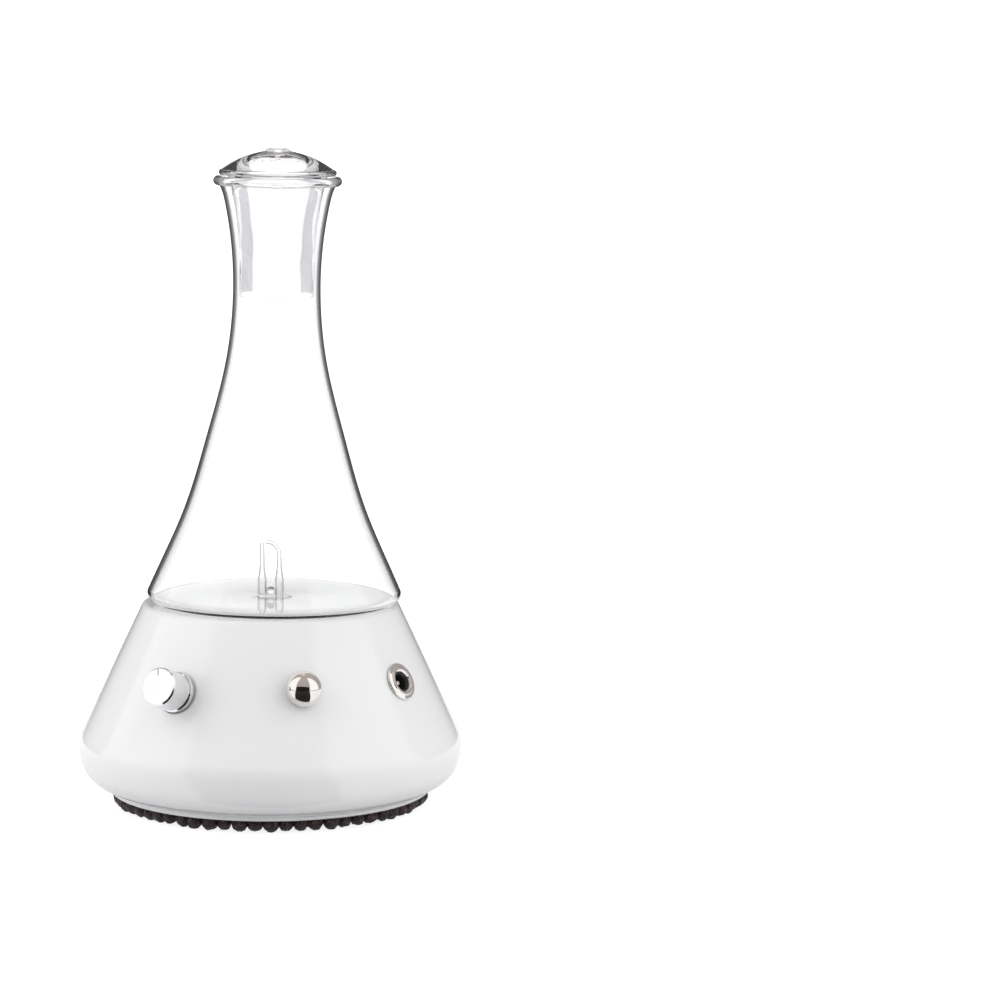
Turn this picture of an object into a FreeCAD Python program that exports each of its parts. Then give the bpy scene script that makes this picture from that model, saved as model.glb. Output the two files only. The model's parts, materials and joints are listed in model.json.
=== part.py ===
import FreeCAD, Part

import math
import os

# Nebulizing essential oil diffuser: a blown glass flask with a glass nozzle and a glass stopper
# stands on a glossy white base that holds the air pump, the light and the controls.
# Millimetres. Z is up, the floor is Z = 0, the base's axis is the Z axis, the touch ball faces -Y.
# Profiles are drawn as (radius, height) pairs.

# ---- base housing ----
HOUSING_WALL = 3.0
LIP_RADIUS = 66.5          # outer edge of the housing's bottom lip
LIP_Z = 6.8
BELLY_RADIUS = 79.1
BELLY_Z = 26.0
CONE_FOOT = (77.8, 30.1)   # where the belly runs into the straight cone
CONE_SLOPE = 0.476         # radius lost per millimetre of height
DECK_Z = 83.4
DECK_THICKNESS = 3.0
DECK_EDGE_ROUND = 2.6
BOTTOM_OPENING_RADIUS = 62.0
SEAT_HOLE_RADIUS = 18.0    # hole in the deck that the light lens fills
SEAT_LEDGE = 1.6           # width of the ledge that the lens sits on
PILLAR_RADIUS = 4.5
PILLAR_CIRCLE = 56.0
PILLAR_TURN = 21.0         # keeps the pillars between the controls
PILLAR_TOP = 64.0
COVER_Z = 5.0
COVER_TOP = 8.0
COVER_RADIUS = 66.0

# ---- stones under the base ----
BEAD_COUNT = 63
BEAD_CIRCLE = 62.3
BEAD_RADIUS = 3.0
BEAD_CENTRE_Z = 2.5

# ---- controls on the wall (azimuth from the front, positive towards +X) ----
CONTROL_HEIGHT = 56.5
BALL_HEIGHT = 57.4
CONE_NORMAL = math.degrees(math.atan(CONE_SLOPE))
KNOB_AZIMUTH = -45.6
KNOB_HEIGHT = 55.0
KNOB_ELEVATION = 20.0
KNOB_SEAT = 0.9            # depth of the flat seat under the knob
KNOB_RADIUS = 7.75
KNOB_FLANGE_RADIUS = 8.2
KNOB_LENGTH = 14.0
JACK_AZIMUTH = 42.0
JACK_PIN_RADIUS = 1.05
BALL_RADIUS = 7.3
BALL_STANDOFF = 3.3        # its centre stands this far off the wall
JACK_BORE = 4.2

# ---- glass flask ----
GLASS_WALL = 1.6
FLASK_Z = DECK_Z + 0.05
FLASK_CORNER = (54.0, FLASK_Z)   # where floor and side would meet if they were not rounded
FLASK_CORNER_ROUND = 3.2
BODY_OFFSET = 1.5           # the blown body stands this far off the axis of its stem
BODY_LEAN = 0.46            # and leans this many degrees the same way, towards +X
BODY_LIFT = 0.39            # so that the low side of its floor just clears the deck
SHOULDER = (48.1, 96.6)
NECK_RADIUS = 17.9
NECK_Z = 211.6
RIM_RADIUS = 26.2
RIM_Z = 256.1
RIM_BEAD = 1.9
STEM_RADIUS = 7.5
STEM_WALL = 1.6
STEM_BOTTOM = 66.0

# ---- glass nozzle inside the flask ----
TUBE_OFFSET = 3.6          # each tube's distance from the axis
TUBE_RADIUS = 1.85
TUBE_SHOULDER_Z = 91.5     # where the wide tube starts to narrow
CAPILLARY_Z = 97.0
CAPILLARY_RADIUS = 0.85
CAPILLARY_BORE = 0.62
TUBE_WALL = 0.5
NOZZLE_TOP = 107.6
BEND_RADIUS = 5.7
BEND_Z = NOZZLE_TOP + 0.5 - BEND_RADIUS
BRIDGE_Z = 87.6

# ---- glass stopper ----
FLANGE_RADIUS = 24.0
FLANGE_Z = 258.4
FLANGE_THICKNESS = 2.3
STOPPER_TOP = 269.2
STOPPER_BOTTOM = 209.0
VENT_RADIUS = 2.4

# ---- socket, light and hose under the deck ----
SOCKET_RADIUS = 10.5
SOCKET_BORE = 9.0
SOCKET_BOTTOM = 60.0
SOCKET_FLANGE_RADIUS = 21.0
BARB_RADIUS = 2.6
BARB_BOTTOM = 51.0
LED_BOARD_Z = 74.4
LED_COUNT = 6
HOSE_RADIUS = 4.2

# ---- air pump, its motor axis along X ----
PUMP_AXIS_Z = 24.0
PUMP_HALF = 13.0           # half width of the square pump head
MOTOR_RADIUS = 12.0
MOTOR_LENGTH = 30.0
SHAFT_RADIUS = 1.0
CRANK_THROW = 1.5
RUNNING_FIT = 0.05         # radial clearance of shafts in their bushes

# ---- circuit board ----
BOARD_Z = 13.0
BOARD_THICKNESS = 1.6
BOARD_HALF_X = 24.0
BOARD_BACK_Y = -20.0
BOARD_FRONT_Y = -46.0

HEADER_HEIGHT = 4.5
WIRE_LIFT = HEADER_HEIGHT + 0.1   # wires stop just above their plugs

UP = FreeCAD.Vector(0, 0, 1)
ORIGIN = FreeCAD.Vector(0, 0, 0)


# ------------------------------------------------------------------ helpers

def vec(x, y, z):
    """A FreeCAD vector."""
    return FreeCAD.Vector(x, y, z)


def polar(radius, degrees, z=0.0):
    """A point at this radius; 0 degrees is the front (-Y) and +90 is +X."""
    angle = math.radians(degrees)
    return vec(radius * math.sin(angle), -radius * math.cos(angle), z)


def cylinder(radius, z0, z1, x=0.0, y=0.0):
    """An upright cylinder between two heights."""
    return Part.makeCylinder(radius, z1 - z0, vec(x, y, z0))


def ring(outer, inner, z0, z1, x=0.0, y=0.0):
    """An upright tube between two heights."""
    return cylinder(outer, z0, z1, x, y).cut(cylinder(inner, z0 - 1, z1 + 1, x, y))


def rod_x(radius, x0, x1, y=0.0, z=PUMP_AXIS_Z):
    """A cylinder along X, on the pump's axis unless told otherwise."""
    return Part.makeCylinder(radius, x1 - x0, vec(x0, y, z), vec(1, 0, 0))


def box(x0, x1, y0, y1, z0, z1):
    """A block between the given planes."""
    return Part.makeBox(x1 - x0, y1 - y0, z1 - z0, vec(x0, y0, z0))


def hexagon(across_flats, z0, z1):
    """A six-sided prism, for nuts."""
    corner = across_flats / math.sqrt(3.0)
    points = [polar(corner, 60.0 * i, z0) for i in range(7)]
    return Part.Face(Part.makePolygon(points)).extrude(vec(0, 0, z1 - z0))


def line(start, end):
    """A straight edge between two (radius, height) points."""
    return Part.makeLine(vec(start[0], 0, start[1]), vec(end[0], 0, end[1]))


def curve(points, first_direction=None, last_direction=None):
    """A smooth edge through (radius, height) points, with optional end directions."""
    spline = Part.BSplineCurve()
    nodes = [vec(r, 0, z) for r, z in points]
    if first_direction:
        first = vec(first_direction[0], 0, first_direction[1])
        last = vec(last_direction[0], 0, last_direction[1])
        spline.interpolate(Points=nodes, InitialTangent=first, FinalTangent=last)
    else:
        spline.interpolate(Points=nodes)
    return spline.toShape()


def inset(points, distance):
    """The same open outline moved sideways, towards its left-hand side."""
    moved = []
    for i, point in enumerate(points):
        before = points[max(i - 1, 0)]
        after = points[min(i + 1, len(points) - 1)]
        dr = after[0] - before[0]
        dz = after[1] - before[1]
        length = math.hypot(dr, dz)
        moved.append((point[0] - dz / length * distance, point[1] + dr / length * distance))
    return moved


def rounded_wire(corners):
    """A closed wire through corners (x, z) or (x, z, radius), rounded where a radius is given."""
    count = len(corners)
    points = [vec(c[0], 0, c[1]) for c in corners]
    arrivals = []
    departures = []
    arcs = []
    for i in range(count):
        here = points[i]
        radius = corners[i][2] if len(corners[i]) > 2 else 0.0
        back = (points[i - 1] - here).normalize()
        ahead = (points[(i + 1) % count] - here).normalize()
        if radius == 0.0:
            arrivals.append(here)
            departures.append(here)
            arcs.append(None)
            continue
        half = back.getAngle(ahead) / 2.0
        reach = radius / math.tan(half)
        middle = here + (back + ahead).normalize() * (radius / math.sin(half) - radius)
        arrivals.append(here + back * reach)
        departures.append(here + ahead * reach)
        arcs.append(Part.Arc(arrivals[i], middle, departures[i]).toShape())
    edges = []
    for i in range(count):
        if arcs[i]:
            edges.append(arcs[i])
        following = arrivals[(i + 1) % count]
        if departures[i].distanceToPoint(following) > 1e-6:
            edges.append(Part.makeLine(departures[i], following))
    return Part.Wire(edges)


def spin(wire):
    """The solid made by turning a closed (radius, height) wire about the Z axis."""
    return Part.Face(wire).revolve(ORIGIN, UP, 360)


def turned(corners):
    return spin(rounded_wire(corners))


def tube_along(points, outer, inner=0.0):
    """A round tube or wire that runs smoothly through the points."""
    spline = Part.BSplineCurve()
    spline.interpolate(Points=points)
    path = Part.Wire(spline.toShape())
    direction = spline.tangent(spline.FirstParameter)[0]
    solids = []
    for radius in (outer, inner):
        if radius > 0.0:
            section = Part.Wire(Part.makeCircle(radius, points[0], direction))
            solids.append(path.makePipeShell([section], True, False))
    if len(solids) == 2:
        return solids[0].cut(solids[1])
    return solids[0]


def round_rim(shape, z, radius):
    """Round the circular edge at this height."""
    edges = []
    for edge in shape.Edges:
        bounds = edge.BoundBox
        if bounds.ZLength < 0.01 and abs(bounds.ZMin - z) < 0.1:
            edges.append(edge)
    return shape.makeFillet(radius, edges)


def cone_radius(z):
    """Outer radius of the housing's straight cone at a height."""
    return CONE_FOOT[0] - CONE_SLOPE * (z - CONE_FOOT[1])


def on_wall(shape, azimuth, height, elevation):
    """Move a fitting drawn along +Z, with its seat at the origin, on to the housing's cone."""
    placed = shape.copy()
    placed.rotate(ORIGIN, vec(1, 0, 0), 90.0 - elevation)
    placed.rotate(ORIGIN, UP, azimuth)
    placed.translate(polar(cone_radius(height), azimuth, height))
    return placed


def at_knob(shape):
    return on_wall(shape, KNOB_AZIMUTH, KNOB_HEIGHT, KNOB_ELEVATION)


def at_ball(shape):
    return on_wall(shape, 0.0, BALL_HEIGHT, CONE_NORMAL)


def at_jack(shape):
    return on_wall(shape, JACK_AZIMUTH, CONTROL_HEIGHT, CONE_NORMAL)


def point_of(place, x, y, z):
    """Where a point of a fitting's own frame lands in the model."""
    return place(Part.Vertex(x, y, z)).Point


def group(shapes):
    return Part.makeCompound(shapes)


def save(name, shape):
    shape.exportStep("parts/" + name + ".step")


# ------------------------------------------------------------------ base casing

def housing_profile(offset):
    """The belly and cone outline, from the bottom lip up to the deck, moved in by the offset."""
    belly = [
        (LIP_RADIUS, LIP_Z),
        (72.1, 9.6),
        (76.4, 13.6),
        (78.5, 19.5),
        (BELLY_RADIUS, BELLY_Z),
        CONE_FOOT,
    ]
    if offset:
        belly = inset(belly, offset)
    return curve(belly, (14, 7), (-CONE_SLOPE * 8, 8)), belly[0], belly[-1]


def housing_body(offset, top_z):
    """Solid of revolution inside the housing outline, up to a flat top."""
    side, start, end = housing_profile(offset)
    top_radius = end[0] - CONE_SLOPE * (top_z - end[1])
    return spin(Part.Wire([
        line((0, start[1]), start),
        side,
        line(end, (top_radius, top_z)),
        line((top_radius, top_z), (0, top_z)),
        line((0, top_z), (0, start[1])),
    ]))


def pillar_places():
    return [polar(PILLAR_CIRCLE, PILLAR_TURN + 90.0 * i) for i in range(4)]


def housing_shell():
    outer = round_rim(housing_body(0.0, DECK_Z), DECK_Z, DECK_EDGE_ROUND)
    cavity = housing_body(HOUSING_WALL, DECK_Z - DECK_THICKNESS)
    lip_top = LIP_Z + HOUSING_WALL
    cavity = cavity.cut(cylinder(2 * BELLY_RADIUS, 0, lip_top))
    cavity = cavity.fuse(cylinder(BOTTOM_OPENING_RADIUS, LIP_Z - 1, lip_top + 1))
    shell = outer.cut(cavity)
    for place in pillar_places():
        pillar = cylinder(PILLAR_RADIUS, COVER_TOP, PILLAR_TOP, place.x, place.y)
        shell = shell.fuse(pillar.common(outer))
    for place in pillar_places():
        shell = shell.cut(cylinder(1.5, COVER_TOP - 1, 20.0, place.x, place.y))
    shell = shell.cut(cylinder(SEAT_HOLE_RADIUS - SEAT_LEDGE, 70, DECK_Z + 1))
    shell = shell.cut(cylinder(SEAT_HOLE_RADIUS, DECK_Z - 1.6, DECK_Z + 1))
    shell = shell.cut(at_knob(cylinder(3.6, -12, 5)))
    shell = shell.cut(at_knob(cylinder(8.7, -KNOB_SEAT, 5)))
    shell = shell.cut(at_ball(cylinder(4.0, -10, 5)))
    return shell.cut(at_jack(cylinder(5.95, -10, 5)))


def board_screw_places():
    places = []
    for x in (-BOARD_HALF_X + 3, BOARD_HALF_X - 3):
        for y in (BOARD_BACK_Y - 3, BOARD_FRONT_Y + 3):
            places.append(vec(x, y, 0))
    return places


def strap_screw_places():
    return [vec(-32, -17, 0), vec(-32, 17, 0)]


def inlet_places():
    places = [vec(0, 36, 0)]
    for i in range(6):
        places.append(vec(0, 36, 0) + polar(4.5, 60.0 * i))
    return places


def bottom_cover():
    cover = turned([
        (0, COVER_Z),
        (COVER_RADIUS, COVER_Z, 0.5),
        (COVER_RADIUS, LIP_Z - 0.05, 0.4),
        (BOTTOM_OPENING_RADIUS - 0.2, LIP_Z - 0.05),
        (BOTTOM_OPENING_RADIUS - 0.2, COVER_TOP, 0.3),
        (0, COVER_TOP),
    ])
    for place in board_screw_places():
        cover = cover.fuse(cylinder(2.6, COVER_TOP - 0.5, BOARD_Z, place.x, place.y))
        cover = cover.cut(cylinder(1.0, COVER_TOP, BOARD_Z + 1, place.x, place.y))
    for place in strap_screw_places():
        cover = cover.cut(cylinder(1.25, COVER_Z + 1, COVER_TOP + 1, place.x, place.y))
    for place in pillar_places():
        cover = cover.cut(cylinder(1.6, COVER_Z - 1, COVER_TOP + 1, place.x, place.y))
        cover = cover.cut(cylinder(3.1, COVER_Z - 1, COVER_Z + 1.9, place.x, place.y))
    for place in inlet_places():
        cover = cover.cut(cylinder(1.6, COVER_Z - 1, COVER_TOP + 1, place.x, place.y))
    return cover


def screw(place, seat_z, head_radius, head_height, shank_radius, length, upwards):
    """A pan-head screw whose head rests at seat_z and whose shank points up or down."""
    sign = 1.0 if upwards else -1.0
    shape = turned([
        (0, -head_height),
        (head_radius, -head_height, 0.4),
        (head_radius, 0),
        (shank_radius, 0),
        (shank_radius, length, 0.3),
        (0, length),
    ])
    slot = box(-head_radius * 0.6, head_radius * 0.6, -0.3, 0.3, -head_height - 1, -head_height + 0.6)
    cross = slot.copy()
    cross.rotate(ORIGIN, UP, 90)
    shape = shape.cut(slot).cut(cross)
    if not upwards:
        shape.rotate(ORIGIN, vec(1, 0, 0), 180)
    shape.translate(vec(place.x, place.y, seat_z))
    return shape


def cover_screws():
    return group([screw(p, COVER_Z + 1.9, 2.8, 1.6, 1.5, 12.0, True) for p in pillar_places()])


def lava_beads():
    """One ring of small round stones, with flats where they are glued and where they stand."""
    beads = []
    for i in range(BEAD_COUNT):
        centre = polar(BEAD_CIRCLE, 360.0 * i / BEAD_COUNT, BEAD_CENTRE_Z)
        ball = Part.makeSphere(BEAD_RADIUS, centre)
        slab = box(centre.x - 4, centre.x + 4, centre.y - 4, centre.y + 4, 0.0, COVER_Z)
        beads.append(ball.common(slab))
    return group(beads)


def inlet_filter():
    return cylinder(8.5, COVER_TOP, COVER_TOP + 3.0, 0, 36)


# ------------------------------------------------------------------ glass

def flask_side():
    """Outer outline of the flask's cone and neck, from the shoulder up to the rim."""
    return [
        SHOULDER,
        (37.3, 121.6),
        (28.3, 151.6),
        (20.8, 181.6),
        (NECK_RADIUS, NECK_Z),
        (18.9, 231.6),
        (21.3, 246.6),
        (22.8, 252.2),
        (RIM_RADIUS - RIM_BEAD + 0.1, RIM_Z - 0.3),
    ]


def flask_solid(offset, top_z):
    """The flask's filled shape, moved in by the offset and carried straight up to top_z."""
    side = [FLASK_CORNER] + flask_side()
    if offset:
        side = inset(side, offset)
    floor_z = FLASK_Z + offset
    run = side[1][0] - side[0][0]
    rise = side[1][1] - side[0][1]
    corner = (side[0][0] + run / rise * (floor_z - side[0][1]), floor_z)
    top = side[-1]
    solid = spin(Part.Wire([
        line((0, floor_z), corner),
        line(corner, side[1]),
        curve(side[1:], (2 * run, 2 * rise), (2.5, 5)),
        line(top, (top[0], top_z)),
        line((top[0], top_z), (0, top_z)),
        line((0, top_z), (0, floor_z)),
    ]))
    return round_rim(solid, floor_z, FLASK_CORNER_ROUND - 0.8 * offset)


def leaned(shape):
    """The blown body and its stopper stand a little off the stem's axis and out of plumb."""
    shape.rotate(vec(0, 0, FLASK_Z), vec(0, 1, 0), BODY_LEAN)
    shape.translate(vec(BODY_OFFSET, 0, BODY_LIFT))
    return shape


def glass_flask():
    outer = flask_solid(0.0, RIM_Z + 0.6)
    inner = flask_solid(GLASS_WALL, RIM_Z + 6.0)
    bead = Part.makeTorus(RIM_RADIUS - RIM_BEAD, RIM_BEAD, vec(0, 0, RIM_Z))
    flask = leaned(outer.cut(inner).fuse(bead))
    stem = cylinder(STEM_RADIUS, STEM_BOTTOM, FLASK_Z + 1.0)
    bore = cylinder(STEM_RADIUS - STEM_WALL, STEM_BOTTOM - 1, FLASK_Z)
    flask = flask.fuse(stem).cut(bore)
    return flask.cut(cylinder(TUBE_RADIUS, FLASK_Z - 1, FLASK_Z + 5, TUBE_OFFSET, 0))


def tapered_tube(x, bottom_z, bore_bottom, top_z):
    """An upright tube that narrows to a fine capillary: its outside and its bore."""
    outside = turned([
        (0, bottom_z),
        (TUBE_RADIUS, bottom_z),
        (TUBE_RADIUS, TUBE_SHOULDER_Z, 3.0),
        (CAPILLARY_RADIUS + 0.25, CAPILLARY_Z, 5.0),
        (CAPILLARY_RADIUS, top_z),
        (0, top_z),
    ])
    bore = turned([
        (0, bore_bottom),
        (TUBE_RADIUS - TUBE_WALL, bore_bottom),
        (TUBE_RADIUS - TUBE_WALL, TUBE_SHOULDER_Z, 2.0),
        (CAPILLARY_BORE, CAPILLARY_Z, 4.0),
        (CAPILLARY_BORE, top_z),
        (0, top_z),
    ])
    for shape in (outside, bore):
        shape.translate(vec(x, 0, 0))
    return outside, bore


def quarter_bend(radius):
    """The jet tube's end: a quarter turn from upright to level, towards the feed tube."""
    section = Part.Face(Part.Wire(Part.makeCircle(radius, vec(TUBE_OFFSET, 0, BEND_Z), UP)))
    return section.revolve(vec(TUBE_OFFSET - BEND_RADIUS, 0, BEND_Z), vec(0, -1, 0), 90)


def oil_feed_tube():
    """Stands on the flask's floor; the oil enters it through the bridge bead."""
    floor = FLASK_Z + GLASS_WALL + BODY_LIFT + 0.08
    outside, bore = tapered_tube(-TUBE_OFFSET, floor, floor + 0.8, NOZZLE_TOP)
    inlet = Part.makeCylinder(0.4, 3.0, vec(-TUBE_OFFSET, 0, BRIDGE_Z), vec(1, 0, 0))
    return outside.cut(bore).cut(inlet)


def air_jet_tube():
    """Rises from the stem; its fine end bends over to blow across the top of the feed tube."""
    outside, bore = tapered_tube(TUBE_OFFSET, FLASK_Z - 0.5, FLASK_Z - 0.5, BEND_Z)
    outside = outside.fuse(quarter_bend(CAPILLARY_RADIUS)).removeSplitter()
    bore = bore.fuse(quarter_bend(CAPILLARY_BORE)).removeSplitter()
    return outside.cut(bore)


def tube_bridge():
    """A drop of glass that ties the two tubes together and carries the oil inlet."""
    drop = Part.makeSphere(1.9, vec(0, 0, BRIDGE_Z))
    neck = Part.makeCylinder(1.1, 2 * TUBE_OFFSET, vec(-TUBE_OFFSET, 0, BRIDGE_Z), vec(1, 0, 0))
    bridge = drop.fuse(neck)
    for x in (-TUBE_OFFSET, TUBE_OFFSET):
        bridge = bridge.cut(cylinder(TUBE_RADIUS, FLASK_Z, TUBE_SHOULDER_Z - 0.4, x, 0))
    bridge = bridge.cut(Part.makeCylinder(0.4, 4.0, vec(0, 0, BRIDGE_Z), vec(0, -1, 0)))
    return bridge.cut(Part.makeCylinder(0.4, 4.0, vec(0, 0, BRIDGE_Z), vec(-1, 0, 0)))


def glass_stopper():
    """A thick hollow stopper: a skirt that hangs in the neck, a flange and a low dome."""
    edge = FLANGE_THICKNESS / 2.0
    flange_top = FLANGE_Z + FLANGE_THICKNESS
    skirt = [(15.2, STOPPER_BOTTOM), (15.3, 218.0), (15.7, 231.0), (17.2, 244.0), (19.2, 254.0)]
    dome_foot = (FLANGE_RADIUS - edge, flange_top)
    dome = [dome_foot, (20.0, 262.6), (15.2, 265.2), (10.6, 266.9), (5.2, 268.2)]
    bore = [(10.0, STOPPER_BOTTOM), (10.1, 231.0), (11.2, 244.0), (12.6, 253.0)]
    vault = [(12.6, 253.0), (12.9, 257.5), (10.4, 261.6), (VENT_RADIUS, 264.6)]
    flange_edge = Part.Arc(
        vec(FLANGE_RADIUS - edge, 0, FLANGE_Z),
        vec(FLANGE_RADIUS, 0, FLANGE_Z + edge),
        vec(FLANGE_RADIUS - edge, 0, flange_top),
    ).toShape()
    stopper = spin(Part.Wire([
        line(bore[0], skirt[0]),
        curve(skirt),
        line(skirt[-1], (20.4, FLANGE_Z)),
        line((20.4, FLANGE_Z), (FLANGE_RADIUS - edge, FLANGE_Z)),
        flange_edge,
        curve(dome),
        line(dome[-1], (4.6, STOPPER_TOP)),
        line((4.6, STOPPER_TOP), (VENT_RADIUS + 0.4, STOPPER_TOP)),
        line((VENT_RADIUS + 0.4, STOPPER_TOP), vault[-1]),
        curve(vault),
        curve(bore[::-1]),
    ]))
    return leaned(stopper)


# ------------------------------------------------------------------ socket, light and hose

def stem_socket():
    """Translucent socket under the deck: it holds the seal, the light shines through it."""
    return turned([
        (1.5, BARB_BOTTOM),
        (BARB_RADIUS, BARB_BOTTOM, 0.5),
        (BARB_RADIUS, SOCKET_BOTTOM),
        (SOCKET_RADIUS, SOCKET_BOTTOM, 1.0),
        (SOCKET_RADIUS, DECK_Z - 5.0),
        (SOCKET_FLANGE_RADIUS, DECK_Z - 5.0, 0.5),
        (SOCKET_FLANGE_RADIUS, DECK_Z - DECK_THICKNESS),
        (SOCKET_BORE, DECK_Z - DECK_THICKNESS),
        (SOCKET_BORE, SOCKET_BOTTOM + 2.0),
        (1.5, SOCKET_BOTTOM + 2.0),
    ])


def stem_seal():
    """Silicone sleeve with three soft ribs that grip the glass stem."""
    inner = STEM_RADIUS + RUNNING_FIT
    corners = [(SOCKET_BORE, 64.0), (SOCKET_BORE, 79.5), (inner + 0.6, 79.5)]
    for rib_z in (76.0, 72.0, 68.0):
        corners.append((inner + 0.6, rib_z + 1.2))
        corners.append((inner, rib_z + 0.5))
        corners.append((inner, rib_z - 0.5))
        corners.append((inner + 0.6, rib_z - 1.2))
    corners.append((inner + 0.6, 64.0))
    return turned(corners)


def light_lens():
    return turned([
        (STEM_RADIUS + 0.6, DECK_Z - 1.6),
        (SEAT_HOLE_RADIUS, DECK_Z - 1.6),
        (SEAT_HOLE_RADIUS, DECK_Z, 0.2),
        (STEM_RADIUS + 0.6, DECK_Z, 0.3),
    ])


def led_board():
    board = ring(20.0, SOCKET_RADIUS, LED_BOARD_Z, LED_BOARD_Z + 1.2)
    for place in led_board_screw_places():
        board = board.cut(cylinder(0.9, LED_BOARD_Z - 1, LED_BOARD_Z + 2, place.x, place.y))
    return board


def led_board_screw_places():
    return [polar(17.5, 90.0), polar(17.5, -90.0)]


def led_board_pins():
    """Two screws that hang the light board from the socket's flange, with their spacers."""
    pins = []
    for place in led_board_screw_places():
        spacer = ring(2.0, 0.9, LED_BOARD_Z + 1.2, DECK_Z - 5.0, place.x, place.y)
        pins.append(spacer)
        pins.append(screw(place, LED_BOARD_Z, 1.7, 1.0, 0.9, DECK_Z - 5.0 - LED_BOARD_Z, True))
    return group(pins)


def light_leds():
    leds = []
    for i in range(LED_COUNT):
        led = box(-1.75, 1.75, -1.75, 1.75, LED_BOARD_Z + 1.2, LED_BOARD_Z + 2.4)
        led = led.cut(Part.makeSphere(2.2, vec(0, 0, LED_BOARD_Z + 4.2)))
        led.translate(vec(0, -15.0, 0))
        led.rotate(ORIGIN, UP, 360.0 * i / LED_COUNT)
        leds.append(led)
    return group(leds)


def air_hose():
    return ring(HOSE_RADIUS, BARB_RADIUS, 39.0, SOCKET_BOTTOM - 0.5)


# ------------------------------------------------------------------ air pump

def pump_bolt_places():
    reach = PUMP_HALF - 2.6
    return [vec(x, y, 0) for x in (-reach, reach) for y in (-reach, reach)]


def pump_block(z0, z1):
    block = box(-PUMP_HALF, PUMP_HALF, -PUMP_HALF, PUMP_HALF, z0, z1)
    uprights = [e for e in block.Edges if e.BoundBox.ZLength > 0.9 * (z1 - z0)]
    block = block.makeFillet(1.5, uprights)
    for place in pump_bolt_places():
        block = block.cut(cylinder(1.25, z0 - 1, z1 + 1, place.x, place.y))
    return block


def crank_case():
    """Open-topped block that the motor bolts to; the crank and the rod move inside it."""
    case = pump_block(10.0, 30.0)
    case = case.cut(cylinder(8.2, 14.0, 31.0))
    case = case.cut(rod_x(8.0, -7.6, 7.6))
    return case.cut(rod_x(3.2, -14.0, 0.0))


def diaphragm():
    sheet = pump_block(30.0, 31.2)
    bead = Part.makeTorus(5.6, 0.9, vec(0, 0, 30.6))
    return sheet.fuse(cylinder(3.4, 29.6, 31.19)).cut(bead.cut(cylinder(9, 30.5, 33)))


def valve_plate():
    plate = pump_block(31.2, 34.2)
    plate = plate.cut(cylinder(6.5, 31.0, 32.4))
    for x in (-3.5, 3.5):
        plate = plate.cut(cylinder(0.9, 31.0, 35.0, x, 0))
    return plate


def pump_head():
    head = pump_block(34.2, 37.6)
    head = head.cut(ring(5.9, 0.001, 34.0, 36.0).cut(box(-0.5, 0.5, -9, 9, 30, 40)))
    nipple = turned([
        (0, 37.4),
        (BARB_RADIUS, 37.4),
        (BARB_RADIUS, 45.5, 0.6),
        (0, 45.5),
    ])
    head = head.fuse(nipple).cut(cylinder(1.4, 36.2, 46))
    head = head.cut(box(0, 3.5, -0.7, 0.7, 35.0, 36.6))
    return head.cut(rod_x(1.0, -PUMP_HALF - 1, -3.5, 0.0, 35.1))


def pump_bolts():
    bolts = [screw(p, 37.6, 2.2, 1.5, 1.25, 24.0, False) for p in pump_bolt_places()]
    return group(bolts)


def connecting_rod():
    """Big end round the crank pin, stem up to the diaphragm's centre."""
    big_end = rod_x(5.2, 1.2, 4.2).cut(rod_x(CRANK_THROW + 1.6, 0, 6))
    stem = box(1.2, 4.2, -1.5, 1.5, PUMP_AXIS_Z + 4.4, 29.6)
    foot = cylinder(2.6, 29.0, 29.6).cut(box(-4, 0.0, -4, 4, 28, 30.5))
    return big_end.fuse(stem).fuse(foot)


def motor_can():
    end = -PUMP_HALF - MOTOR_LENGTH
    can = rod_x(MOTOR_RADIUS, end + 3.0, -PUMP_HALF)
    can = can.cut(rod_x(MOTOR_RADIUS - 1.0, end, -PUMP_HALF - 1.2))
    can = can.cut(rod_x(2.5, end, 0))
    flats = box(end, 0, -30, 30, PUMP_AXIS_Z + 11.0, PUMP_AXIS_Z + 14)
    return can.cut(flats.cut(rod_x(MOTOR_RADIUS, end, 0)))


def motor_end_cap():
    end = -PUMP_HALF - MOTOR_LENGTH
    cap = rod_x(MOTOR_RADIUS, end, end + 3.0).fuse(rod_x(MOTOR_RADIUS - 1.0, end + 3.0, end + 4.5))
    cap = cap.cut(rod_x(8.0, end + 2.0, end + 6.0))
    for y in (-7.0, 7.0):
        cap = cap.cut(box(end - 1, end + 6, y - 1.2, y + 1.2, PUMP_AXIS_Z - 0.3, PUMP_AXIS_Z + 0.3))
    return cap.cut(rod_x(2.5, end - 1, end + 6))


def motor_terminals():
    end = -PUMP_HALF - MOTOR_LENGTH
    tags = []
    for y in (-7.0, 7.0):
        tags.append(box(end - 3.5, end + 2.0, y - 1.2, y + 1.2, PUMP_AXIS_Z - 0.3, PUMP_AXIS_Z + 0.3))
    return group(tags)


def motor_brushes():
    end = -PUMP_HALF - MOTOR_LENGTH
    brushes = []
    for y in (-4.2, 4.2):
        brushes.append(box(end + 2.0, end + 6.5, y - 1.2, y + 1.2, PUMP_AXIS_Z - 1.2, PUMP_AXIS_Z + 1.2))
    return group(brushes)


def motor_magnets():
    start = -PUMP_HALF - MOTOR_LENGTH + 8.0
    sleeve = rod_x(MOTOR_RADIUS - 1.0, start, start + 19.0).cut(rod_x(9.0, start - 1, start + 20))
    gap = box(start - 1, start + 20, -20, 20, PUMP_AXIS_Z - 3.0, PUMP_AXIS_Z + 3.0)
    return sleeve.cut(gap)


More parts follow.
